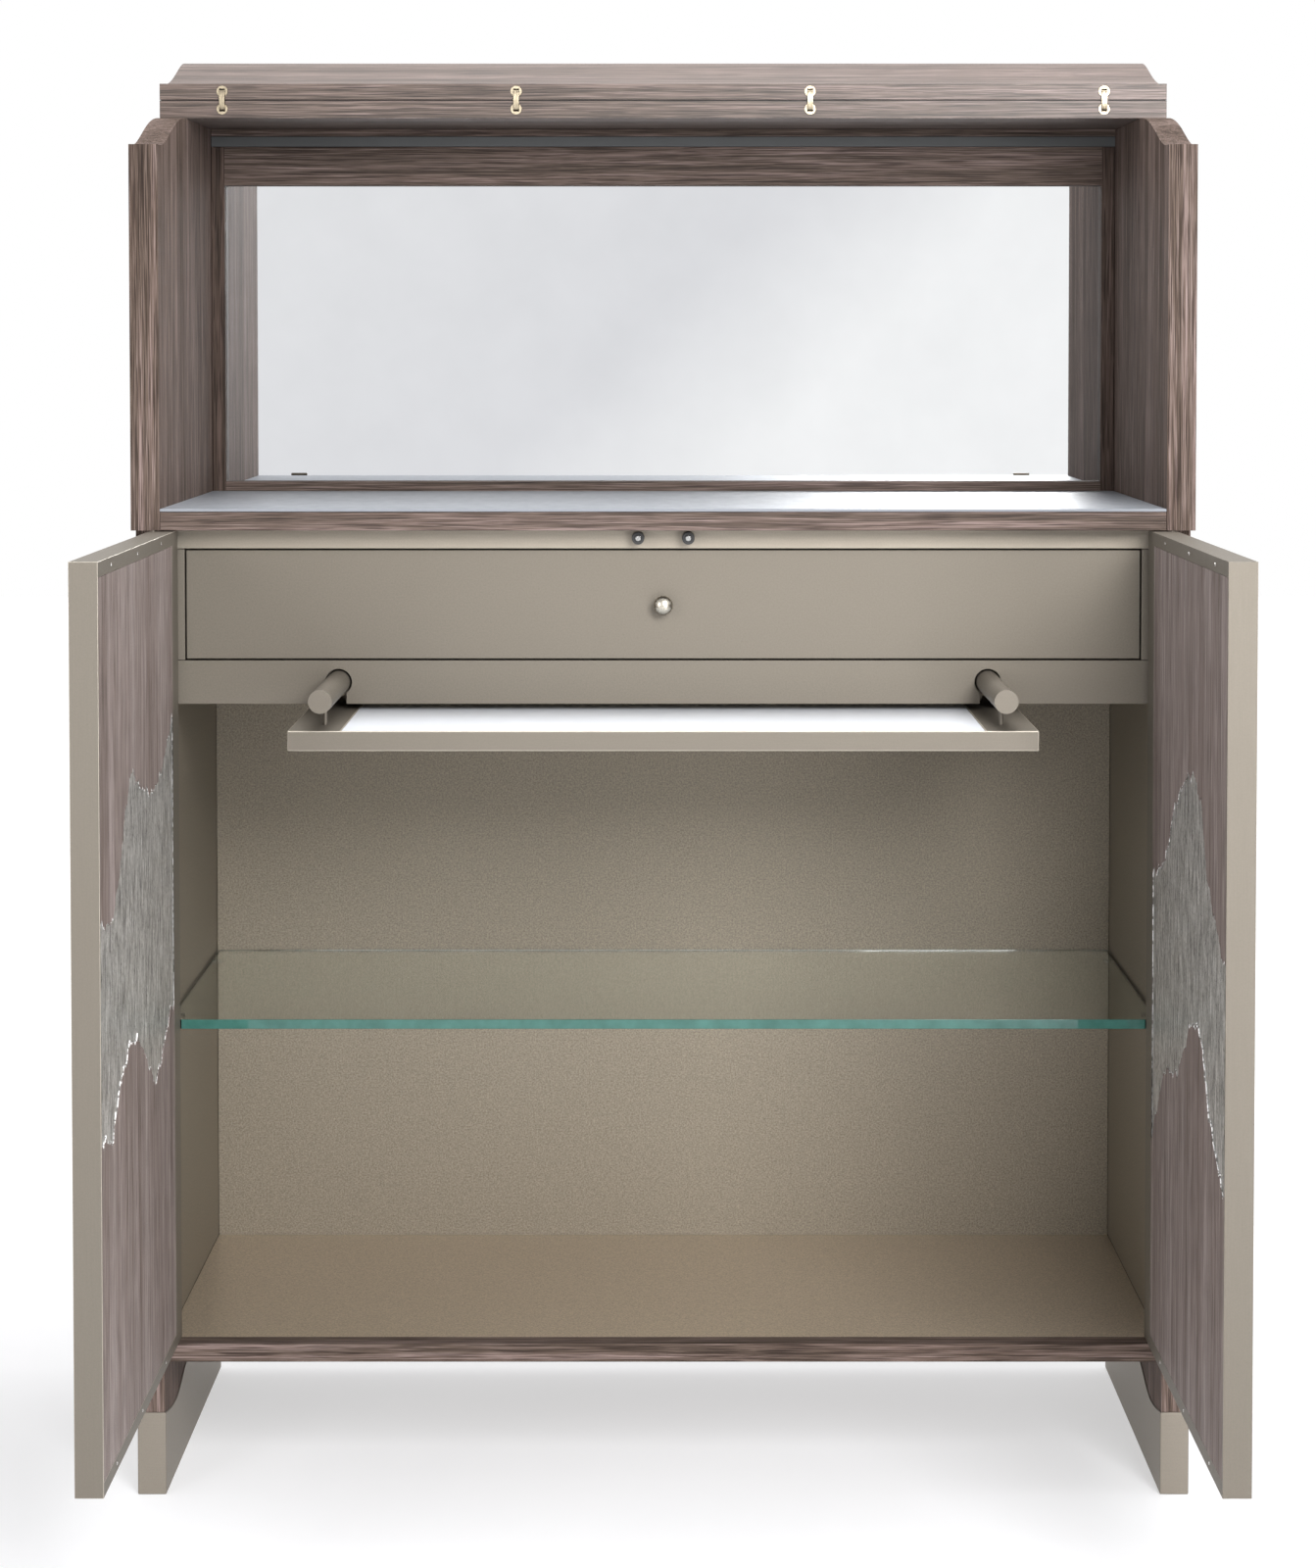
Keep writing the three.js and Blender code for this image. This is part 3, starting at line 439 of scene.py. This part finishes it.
# Lacquered zones: the cupboard's faces behind the doors, and the front face of its back panel
DOOR_REBATE = 0.028  # front strip of the sides and of the floor that stays wood
cupboard_bottom, cupboard_top = floor_top - SKIN / 2, counter_bottom + SKIN / 2
cupboard_box = (
    (-1.0, front_y + DOOR_REBATE, cupboard_bottom),
    (inner_x + SKIN, FAR, cupboard_top),
)
back_box = (
    (-1.0, -FAR, cupboard_bottom),
    (FAR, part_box("back_panel")[0].y + SKIN, cupboard_top),
)
between_posts = ((-1.0, -FAR, -1.0), (post_x, FAR, FAR))
# Level of the seam whose upright faces get painted shade
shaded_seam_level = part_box("fixed_top")[1].z
looks = {
    "side_left": lacquered_wood("wood_side_left", "Z", 1.7, *cupboard_box, BOARD_CONTRAST),
    "side_right": lacquered_wood("wood_side_right", "Z", 4.1, *cupboard_box, BOARD_CONTRAST),
    # The cupboard floor gets its lacquer painted lighter, as painted light
    "floor": lacquered_wood("wood_floor", "X", 2.9, *cupboard_box, BOARD_CONTRAST, FLOOR_LACQUER_PAINTED_LIGHT, 0.6),
    "back": lacquered_wood("wood_back", "Z", 6.3, *back_box),
    "mirror_frame": framed_wood("wood_mirror_frame", 3.3, *between_posts),
    "wood_x": wood("wood_across", "X", 3.3, BOARD_CONTRAST),
    "wood_top": wood("wood_top", "X", 7.9, BOARD_CONTRAST, None, 0.45, shaded_seam_level),
    "wood_door_left": wood("wood_door_left", "Z", 9.2, DOOR_CONTRAST, DOOR_STOPS),
    "wood_door_right": wood("wood_door_right", "Z", 12.4, DOOR_CONTRAST, DOOR_STOPS),
    "wood_y": wood("wood_along", "Y", 5.6),
    "metal": champagne("champagne_metal", CHAMPAGNE, 2.0, 0.6, 0.10, "Z"),
    "metal_x": champagne("champagne_metal_across", CHAMPAGNE, 5.0, 0.6, 0.10, "X"),
    "leg": champagne("champagne_leg", LEG_CHAMPAGNE, 9.0, 0.6, 0.10, "X"),
    # Cupboard lacquer with painted light
    "inner_lacquer_painted_light": champagne("champagne_inner_painted_light", INNER_LACQUER_PAINTED_LIGHT, 8.5, 0.55, 0.25),
    # Top rail: lacquer with a painted highlight
    "rail": champagne("champagne_rail_painted_highlight", RAIL_LACQUER_PAINTED_HIGHLIGHT, 4.5, 0.75, 0.12, "X"),
    "lacquer": champagne("champagne_lacquer", LACQUER, 8.0, 0.55, 0.16),
    "bark": bark("silver_bark", 3.0),
    "bright": polished("bright_silver", (0.85, 0.84, 0.82, 1), 1.0, 0.12),
    "brass": polished("brass", BRASS, 4.0, 0.34),
    # The bead's material, with painted glints
    "foil": painted_glint_foil("painted_glint_foil", 2.5),
    "bronze": polished("bronze", (0.11, 0.095, 0.075, 1), 3.5, 0.35),
    # Rounded edges with a painted highlight
    "edge": champagne("champagne_painted_highlight_edge", EDGE_PAINTED_HIGHLIGHT, 6.0, 0.8, 0.10),
    "knob": polished("satin_knob", (0.50, 0.465, 0.395, 1), 7.0, 0.27),
    "plunger": polished("plunger_silver", (0.42, 0.42, 0.41, 1), 1.5, 0.25),
    "black": polished("black_metal", (0.02, 0.02, 0.02, 1), 6.0, 0.4, 0.3),
    # Counter glass: the same white glass as the tray's, painted a darker grey as shade in the niche under
    # the top
    "counter_glass": painted_glass("counter_glass", (0.24, 0.253, 0.277, 1), 2.0, 0.36, 0.08),
    "tray_glass": painted_glass("tray_glass", (0.74, 0.77, 0.82, 1), 2.6, 0.32, 0.35),
    "lamp": painted_glass("lamp_glass", (0.085, 0.088, 0.09, 1), 5.0, 0.55, 0.3),
    "shelf": shelf_glass("shelf_glass"),
    "mirror": mirror_glass("mirror_glass"),
}


def look_for(node):
    rules = [
        ("side_panel_left", "side_left"),
        ("side_panel_right", "side_right"),
        ("bottom_board", "floor"),
        ("back_panel", "back"),
        ("folding_leaf", "wood_top"),
        ("fixed_top", "wood_top"),
        ("mirror_frame", "mirror_frame"),
        ("niche_fillet", "wood_x"),
        ("counter_board", "wood_x"),
        ("door_panel_left", "wood_door_left"),
        ("door_panel_right", "wood_door_right"),
        ("drawer_box", "wood_x"),
        ("drawer_runner", "wood_y"),
        ("dust_panel", "inner_lacquer_painted_light"),
        ("leg_", "leg"),
        ("door_frame", "metal"),
        ("face_rail_top", "rail"),
        ("stile_", "lacquer"),
        ("tray_rail", "lacquer"),
        ("drawer_front", "lacquer"),
        ("tray_frame", "metal_x"),
        ("tray_rod", "metal_x"),
        ("rod_guide", "metal_x"),
        ("knob", "knob"),
        ("inlay_", "bark"),
        ("catch_housing", "black"),
        ("catch_plunger", "plunger"),
        ("shelf_pin", "bright"),
        ("barrel_", "brass"),
        ("hinge_link", "brass"),
        ("counter_glass", "counter_glass"),
        ("tray_glass", "tray_glass"),
        ("lamp_strip", "lamp"),
        ("glass_shelf", "shelf"),
        ("mirror", "mirror"),
    ]
    return next(looks[look] for start_of_name, look in rules if node.startswith(start_of_name))


def dress(obj, look):
    obj.data.materials.clear()
    obj.data.materials.append(look)


for name, obj in nodes.items():
    dress(obj, look_for(name))


# A copy of a CAD node with its sharp edges rounded, which stands for the node
FLAT_ANGLE = 0.5  # degrees; flatter edges than this are dissolved
ROUND_ANGLE = 35  # degrees; sharper edges than this are rounded
ROUND_SEGMENTS = 2


def soften(node, width, highlight_edge_look=None):
    source = nodes[node]
    made = bpy.data.objects.new("soft_" + node, source.data.copy())
    bpy.context.collection.objects.link(made)
    mesh = bmesh.new()
    mesh.from_mesh(made.data)
    bmesh.ops.remove_doubles(mesh, verts=mesh.verts, dist=WELD)
    flat = math.radians(FLAT_ANGLE)
    bmesh.ops.dissolve_limit(mesh, angle_limit=flat, verts=mesh.verts, edges=mesh.edges)
    for face in mesh.faces:
        face.smooth = True
    mesh.to_mesh(made.data)
    mesh.free()
    modifier = made.modifiers.new("round", "BEVEL")
    modifier.width = width
    modifier.segments = ROUND_SEGMENTS
    modifier.limit_method = "ANGLE"
    modifier.angle_limit = math.radians(ROUND_ANGLE)
    modifier.use_clamp_overlap = True
    # When a second material is given, the rounded faces take it: a painted highlight along the edges
    modifier.material = 1 if highlight_edge_look else 0
    flatten = made.modifiers.new("flatten", "WEIGHTED_NORMAL")
    flatten.mode = "FACE_AREA"
    flatten.weight = 100
    dress(made, look_for(node))
    if highlight_edge_look:
        made.data.materials.append(highlight_edge_look)
    apply_modifiers(made)
    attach(made, body_of_node[node])
    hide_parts(node)


def apply_modifiers(obj):
    graph = bpy.context.evaluated_depsgraph_get()
    final = bpy.data.meshes.new_from_object(obj.evaluated_get(graph))
    obj.modifiers.clear()
    obj.data = final


# Rounding, in metres, and the nodes that get it
HIGHLIGHT_EDGED_NODES = ("door_frame_left", "door_frame_right", "tray_frame")
EDGED_ROUNDING = 0.0010
LINK_ROUNDING = 0.0005
LINK_COUNT = 4
KNOB_ROUNDING = 0.0003
SOFT_EDGES = {
    0.0012: ["leg_left", "leg_right", "side_panel_left", "side_panel_right", "folding_leaf"],
    0.0008: [
        "bottom_board",
        "counter_board",
        "back_panel",
        "fixed_top",
        "mirror_frame",
        "tray_rail",
        "face_rail_top",
        "drawer_front",
        "stile_left",
        "stile_right",
        "drawer_box",
        "rod_guide_left",
        "rod_guide_right",
    ],
    0.0005: ["counter_glass", "tray_glass", "glass_shelf", "tray_rod_left", "tray_rod_right", "lamp_strip"],
    0.0004: ["catch_housing_left", "catch_housing_right", "catch_plunger_left", "catch_plunger_right"],
}
for width, members in SOFT_EDGES.items():
    for node in members:
        soften(node, width)
# Door frames and tray frame: their rounded edges get the painted highlight
for node in HIGHLIGHT_EDGED_NODES:
    soften(node, EDGED_ROUNDING, looks["edge"])
for i in range(1, LINK_COUNT + 1):
    soften(f"hinge_link_{i}", LINK_ROUNDING)
soften("knob", KNOB_ROUNDING)


# Small countersunk cross-head screws in the door strips
SCREW_R = 0.0019
SCREW_RISE = 0.0005
SCREW_SHARES = (0.16, 0.5, 0.84)  # of the panel's width
SCREW_FROM_PANEL = 0.0072
SCREW_RINGS = [(1.0, 0.0), (0.92, 0.5), (0.6, 0.9)]  # share of the radius, share of the rise
SCREW_STEPS = 16


def screw_head(name, place, facing):
    mesh = bmesh.new()
    steps = SCREW_STEPS
    loops = []
    for share, rise in SCREW_RINGS:
        loop = []
        for i in range(steps):
            angle = 2 * math.pi * i / steps
            slot_depth = 0.45 if share < 0.95 and abs(math.sin(2 * angle)) < 0.2 else 0.0
            x = facing * SCREW_RISE * (rise - slot_depth)
            y, z = SCREW_R * share * math.cos(angle), SCREW_R * share * math.sin(angle)
            loop.append(mesh.verts.new((x, y, z)))
        loops.append(loop)
    top = mesh.verts.new((facing * SCREW_RISE * 0.55, 0, 0))
    for outer, inner in zip(loops, loops[1:]):
        for i in range(steps):
            j = (i + 1) % steps
            mesh.faces.new((outer[i], outer[j], inner[j], inner[i]))
    for i in range(steps):
        mesh.faces.new((loops[-1][i], loops[-1][(i + 1) % steps], top))
    mesh.faces.new(list(reversed(loops[0])))
    bmesh.ops.recalc_face_normals(mesh, faces=mesh.faces)
    data = bpy.data.meshes.new(name)
    mesh.to_mesh(data)
    mesh.free()
    made = bpy.data.objects.new(name, data)
    made.location = place
    bpy.context.collection.objects.link(made)
    dress(made, looks["bright"])
    return made


def add_screws(word, side):
    low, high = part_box(f"door_panel_{word}")
    face_x = low.x if side > 0 else high.x
    heights = {"low": low.z - SCREW_FROM_PANEL, "high": high.z + SCREW_FROM_PANEL}
    for end, z in heights.items():
        for i, share in enumerate(SCREW_SHARES):
            y = low.y + share * (high.y - low.y)
            piece = screw_head(f"screw_{word}_{end}_{i}", (face_x, y, z), -side)
            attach(piece, f"door_{word}")


for word, side in SIDES.items():
    add_screws(word, side)


# Bronze lips on the glass above the mirror's sill
CLIP_PLACES = {"left": -0.438, "right": 0.431}
CLIP_WIDTH = 0.019
CLIP_PROFILE = [
    (0.0, 0.0066),
    (-0.0020, 0.0066),
    (-0.0028, 0.0073),
    (-0.0028, 0.0089),
    (-0.0020, 0.0096),
    (0.0, 0.0096),
]  # forward of the glass and above the sill
CLIP_ROUNDING = 0.0003
CLIP_GAP = 0.0001


def mirror_clip(word, x):
    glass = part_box("mirror")[0]
    mesh = bmesh.new()
    ends = []
    for edge in (-CLIP_WIDTH / 2, CLIP_WIDTH / 2):
        ends.append([mesh.verts.new((edge, y, z)) for y, z in CLIP_PROFILE])
    count = len(CLIP_PROFILE)
    for i in range(count):
        j = (i + 1) % count
        mesh.faces.new((ends[0][i], ends[0][j], ends[1][j], ends[1][i]))
    mesh.faces.new(ends[0])
    mesh.faces.new(list(reversed(ends[1])))
    bmesh.ops.recalc_face_normals(mesh, faces=mesh.faces)
    bmesh.ops.bevel(mesh, geom=mesh.edges[:], offset=CLIP_ROUNDING, segments=1, affect="EDGES")
    data = bpy.data.meshes.new("clip_" + word)
    mesh.to_mesh(data)
    mesh.free()
    made = bpy.data.objects.new("mirror_clip_" + word, data)
    made.location = (x, glass.y - CLIP_GAP, sill_top + CLIP_GAP)
    bpy.context.collection.objects.link(made)
    dress(made, looks["bronze"])
    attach(made, "carcass")


for word, x in CLIP_PLACES.items():
    mirror_clip(word, x)


# Bark inlay: a ridged relief cut to the outline of the CAD band
RELIEF_MARGIN = 0.004
RELIEF_STEP_Y, RELIEF_STEP_Z = 0.0035, 0.006
RELIEF_DEPTH = 0.75  # share of the band's thickness that the deepest valley reaches
RELIEF_SUNK = 0.00002
RELIEF_BACK = 0.001  # its back behind the back of the band, so that the cut takes it off
CREASE_ANGLE = 45  # degrees


def relief_height(y, z):
    ridge = noise.fractal(Vector((y * 210, z * 26, 3.1)), 0.8, 2.2, 4)
    plate = noise.noise(Vector((y * 40, z * 14, 8.7)))
    return 0.5 + 0.32 * ridge + 0.18 * plate


def bark_relief(node, facing):
    low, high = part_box(node)
    depth = high.x - low.x
    margin = RELIEF_MARGIN
    count_y = int((high.y - low.y + 2 * margin) / RELIEF_STEP_Y) + 1
    count_z = int((high.z - low.z + 2 * margin) / RELIEF_STEP_Z) + 1
    top_x, base_x = (low.x, high.x) if facing < 0 else (high.x, low.x)
    mesh = bmesh.new()
    front, back = [], []
    for i in range(count_y + 1):
        for j in range(count_z + 1):
            y = low.y - margin + i * RELIEF_STEP_Y
            z = low.z - margin + j * RELIEF_STEP_Z
            sunk = depth * RELIEF_DEPTH * min(1.0, max(0.0, 1 - relief_height(y, z)))
            front.append(mesh.verts.new((top_x - facing * (sunk + RELIEF_SUNK), y, z)))
            back.append(mesh.verts.new((base_x - facing * RELIEF_BACK, y, z)))
    row = count_z + 1

    def quad(a, b, c, d):
        mesh.faces.new((a, b, c, d))

    for i in range(count_y):
        for j in range(count_z):
            a, b = i * row + j, (i + 1) * row + j
            c, d = b + 1, a + 1
            quad(front[a], front[b], front[c], front[d])
            quad(back[d], back[c], back[b], back[a])
    for i in range(count_y):
        for j in (0, count_z):
            a, b = i * row + j, (i + 1) * row + j
            quad(front[a], front[b], back[b], back[a])
    for j in range(count_z):
        for i in (0, count_y):
            a, b = i * row + j, i * row + j + 1
            quad(front[a], front[b], back[b], back[a])
    bmesh.ops.recalc_face_normals(mesh, faces=mesh.faces)
    data = bpy.data.meshes.new("relief_" + node)
    mesh.to_mesh(data)
    mesh.free()
    made = bpy.data.objects.new("bark_" + node, data)
    bpy.context.collection.objects.link(made)
    modifier = made.modifiers.new("outline", "BOOLEAN")
    modifier.operation = "INTERSECT"
    modifier.solver = "EXACT"
    modifier.object = nodes[node]
    apply_modifiers(made)
    dress(made, looks["bark"])
    for face in made.data.polygons:
        face.use_smooth = True
    made.data.set_sharp_from_angle(angle=math.radians(CREASE_ANGLE))
    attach(made, body_of_node[node])
    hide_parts(node)


# Bead between the inlay and the wood, uneven like torn foil, with painted glints in its colour
BEAD_SIDES = 6
BEAD_RISE = 0.0008
BEAD_SPREAD = 0.0011
BEAD_OUT = 0.00035  # middle of the bead outside the outline
BEAD_SUNK = 0.0002  # middle of the bead under the face
BEAD_THICK, BEAD_THIN = 0.85, 0.34  # mean swelling in the lower front part, and elsewhere
BEAD_UNEVEN = 0.75
BEAD_SCALE = 120


def rim_bead(node, facing):
    source = nodes[node].data
    low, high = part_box(node)
    face_x = low.x if facing < 0 else high.x
    mesh = bmesh.new()
    mesh.from_mesh(source)
    bmesh.ops.remove_doubles(mesh, verts=mesh.verts, dist=WELD)
    inside = [f for f in mesh.faces if all(abs(v.co.x - face_x) < 1e-5 for v in f.verts)]
    edges = [e for e in mesh.edges if sum(f in inside for f in e.link_faces) == 1]
    around = {}
    for edge in edges:
        a, b = edge.verts
        around.setdefault(a, []).append(b)
        around.setdefault(b, []).append(a)
    first = min(around, key=lambda v: (v.co.y, v.co.z))
    loop, last, now = [first], None, first
    while True:
        ahead = [v for v in around[now] if v is not last]
        last, now = now, ahead[0]
        if now is first:
            break
        loop.append(now)
    points = [v.co.copy() for v in loop]
    mesh.free()
    centre_y, centre_z = (low.y + high.y) / 2, (low.z + high.z) / 2
    rings = []
    bead = bmesh.new()
    count = len(points)
    for i, point in enumerate(points):
        ahead, behind = points[(i + 1) % count], points[i - 1]
        run = (ahead - behind).normalized()
        out = Vector((0, -run.z, run.y))
        if out.z * (point.z - centre_z) < 0:
            out = -out
        favoured = point.z < centre_z and point.y < centre_y
        mean = BEAD_THICK if favoured else BEAD_THIN
        swell = mean + BEAD_UNEVEN * noise.noise(point * BEAD_SCALE)
        centre = point + out * BEAD_OUT
        ring = []
        for k in range(BEAD_SIDES):
            angle = 2 * math.pi * k / BEAD_SIDES
            up = Vector((facing, 0, 0)) * math.sin(angle) * BEAD_RISE
            away = up + out * math.cos(angle) * BEAD_SPREAD
            ring.append(bead.verts.new(centre - Vector((facing * BEAD_SUNK, 0, 0)) + away * swell))
        rings.append(ring)
    for i in range(count):
        one, two = rings[i], rings[(i + 1) % count]
        for k in range(BEAD_SIDES):
            j = (k + 1) % BEAD_SIDES
            bead.faces.new((one[k], two[k], two[j], one[j]))
    bmesh.ops.recalc_face_normals(bead, faces=bead.faces)
    data = bpy.data.meshes.new("rim_" + node)
    bead.to_mesh(data)
    bead.free()
    made = bpy.data.objects.new("rim_" + node, data)
    bpy.context.collection.objects.link(made)
    dress(made, looks["foil"])
    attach(made, body_of_node[node])


for word, side in SIDES.items():
    for layer, facing in (("inner", -side), ("outer", side)):
        rim_bead(f"inlay_{layer}_{word}", facing)
        bark_relief(f"inlay_{layer}_{word}", facing)


# Floor, light and camera
FLOOR_HALF = 14.0
FLOOR_DROP = 0.0005
# Painted shade: the glow is dimmer near the middle, as shade around the cabinet; far off it makes the floor
# as white as the backdrop
FLOOR_GLOW_PAINTED_SHADE = (0.9, 3.5, 0.51, 0.85)  # glow 0.51 within 0.9 m of the middle, 0.85 beyond 3.5 m


def stage_floor():
    mesh = bpy.data.meshes.new("floor")
    half = FLOOR_HALF
    corners = [(-half, -half, 0), (half, -half, 0), (half, half, 0), (-half, half, 0)]
    mesh.from_pydata(corners, [], [(0, 1, 2, 3)])
    floor = bpy.data.objects.new("floor", mesh)
    bpy.context.collection.objects.link(floor)
    floor.location.z = -FLOOR_DROP
    material, tree, shader = start("pale_floor")
    speckle = grains(tree, object_coords(tree), 30, 3.0, 0.5)
    colour = ramp(tree, speckle, [(0.3, (0.50, 0.50, 0.515, 1)), (0.7, (0.52, 0.52, 0.535, 1))])
    feed(tree, shader, {"Base Color": colour})
    shader.inputs["Roughness"].default_value = 0.7
    shader.inputs["Specular IOR Level"].default_value = 0.1
    far = put(tree, "ShaderNodeVectorMath", {0: object_coords(tree)}, operation="LENGTH").outputs["Value"]
    # Glow growing with distance from the middle: painted shade around the cabinet
    feed(tree, shader, {"Emission Strength": spread(tree, far, *FLOOR_GLOW_PAINTED_SHADE)})
    shader.inputs["Emission Color"].default_value = (1.0, 1.0, 1.0, 1)
    dress(floor, material)


def area_light(name, place, target, size, power):
    data = bpy.data.lights.new(name, "AREA")
    data.shape = "RECTANGLE"
    data.size, data.size_y = size
    data.energy = power
    light = bpy.data.objects.new(name, data)
    light.location = place
    light.rotation_euler = (Vector(target) - Vector(place)).to_track_quat("-Z", "Y").to_euler()
    bpy.context.collection.objects.link(light)


# The world: a soft studio wall with a broad slanting band of shade, dimmer for diffuse light
SKY_SLANT = (-0.62, -0.45, 0.64)
SKY_STOPS = [(0.415, (1.0, 1.0, 1.0, 1)), (0.455, (0.80, 0.80, 0.82, 1)), (0.55, (0.86, 0.86, 0.87, 1))]
SKY_BOUNCE = 0.54


def sky():
    world = bpy.data.worlds.new("studio")
    bpy.context.scene.world = world
    world.use_nodes = True
    tree = world.node_tree
    direction = put(tree, "ShaderNodeTexCoord").outputs["Generated"]
    turned = put(tree, "ShaderNodeVectorMath", {0: direction, 1: SKY_SLANT}, operation="DOT_PRODUCT")
    shade = ramp(tree, turned.outputs["Value"], SKY_STOPS)
    bounce = put(tree, "ShaderNodeLightPath").outputs["Is Diffuse Ray"]
    background = tree.nodes["Background"]
    tree.links.new(shade, background.inputs["Color"])
    tree.links.new(spread(tree, bounce, 0.0, 1.0, 1.0, SKY_BOUNCE), background.inputs["Strength"])


CAMERA_DISTANCE = 3.9875  # in front of the cabinet
CAMERA_HEIGHT = 1.2544
CAMERA_TILT = 2.5225  # degrees, downwards
CAMERA_LENS = 85.416
CAMERA_SHIFT = (-0.0033, -0.18)
SENSOR = 36.0


def camera():
    data = bpy.data.cameras.new("camera")
    data.sensor_width = SENSOR
    data.lens = CAMERA_LENS
    data.shift_x, data.shift_y = CAMERA_SHIFT
    made = bpy.data.objects.new("camera", data)
    made.location = (0, front_y - CAMERA_DISTANCE, CAMERA_HEIGHT)
    made.rotation_euler = (math.radians(90 - CAMERA_TILT), 0, 0)
    bpy.context.collection.objects.link(made)
    bpy.context.scene.camera = made


stage_floor()
# name, place, target, size in metres, watts
area_light("key", (1.2, -4.05, 2.44), (0, 0, 0.8), (1.6, 1.6), 225)
area_light("fill", (-2.3, -3.3, 1.6), (0.2, 0, 0.9), (1.2, 1.6), 40)
area_light("low", (1.5, -3.6, 0.7), (0.1, 0, 0.75), (0.7, 1.0), 22)
area_light("top", (0.2, 0.4, 3.4), (0, 0.2, 1.0), (2.2, 1.4), 85)
sky()
camera()
bpy.context.scene.view_settings.view_transform = "Standard"
